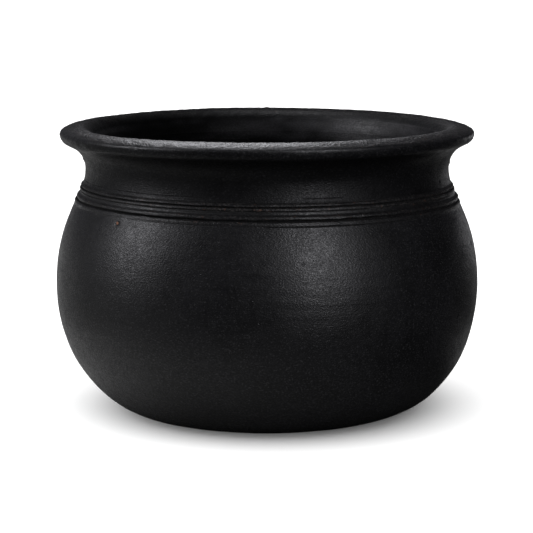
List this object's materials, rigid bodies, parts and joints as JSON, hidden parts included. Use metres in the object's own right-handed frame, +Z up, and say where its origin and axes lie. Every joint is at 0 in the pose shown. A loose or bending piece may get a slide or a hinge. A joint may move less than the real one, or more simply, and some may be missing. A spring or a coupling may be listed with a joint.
{
  "type": "black clay pot",
  "caption": "Round-bellied black clay cooking pot with a short waisted neck, a flared rolled lip and fine lines turned round the shoulder.",
  "frame": {"origin": "centre of the flat face that the pot rests on", "axes": "+Z up along the pot's axis of revolution; +X and +Y are any two directions square to it"},
  "size_m": [0.2399, 0.24, 0.1621],
  "materials": {
    "black_clay": "satin smoke-blackened clay, smoothed by hand, unglazed"
  },
  "bodies": {
    "root": {"base_pad": "black_clay", "lower_wall_course": "black_clay", "middle_wall_course": "black_clay", "upper_wall_course": "black_clay", "shoulder_course": "black_clay", "neck_collar": "black_clay", "rim_coil": "black_clay"}
  },
  "joints": []
}
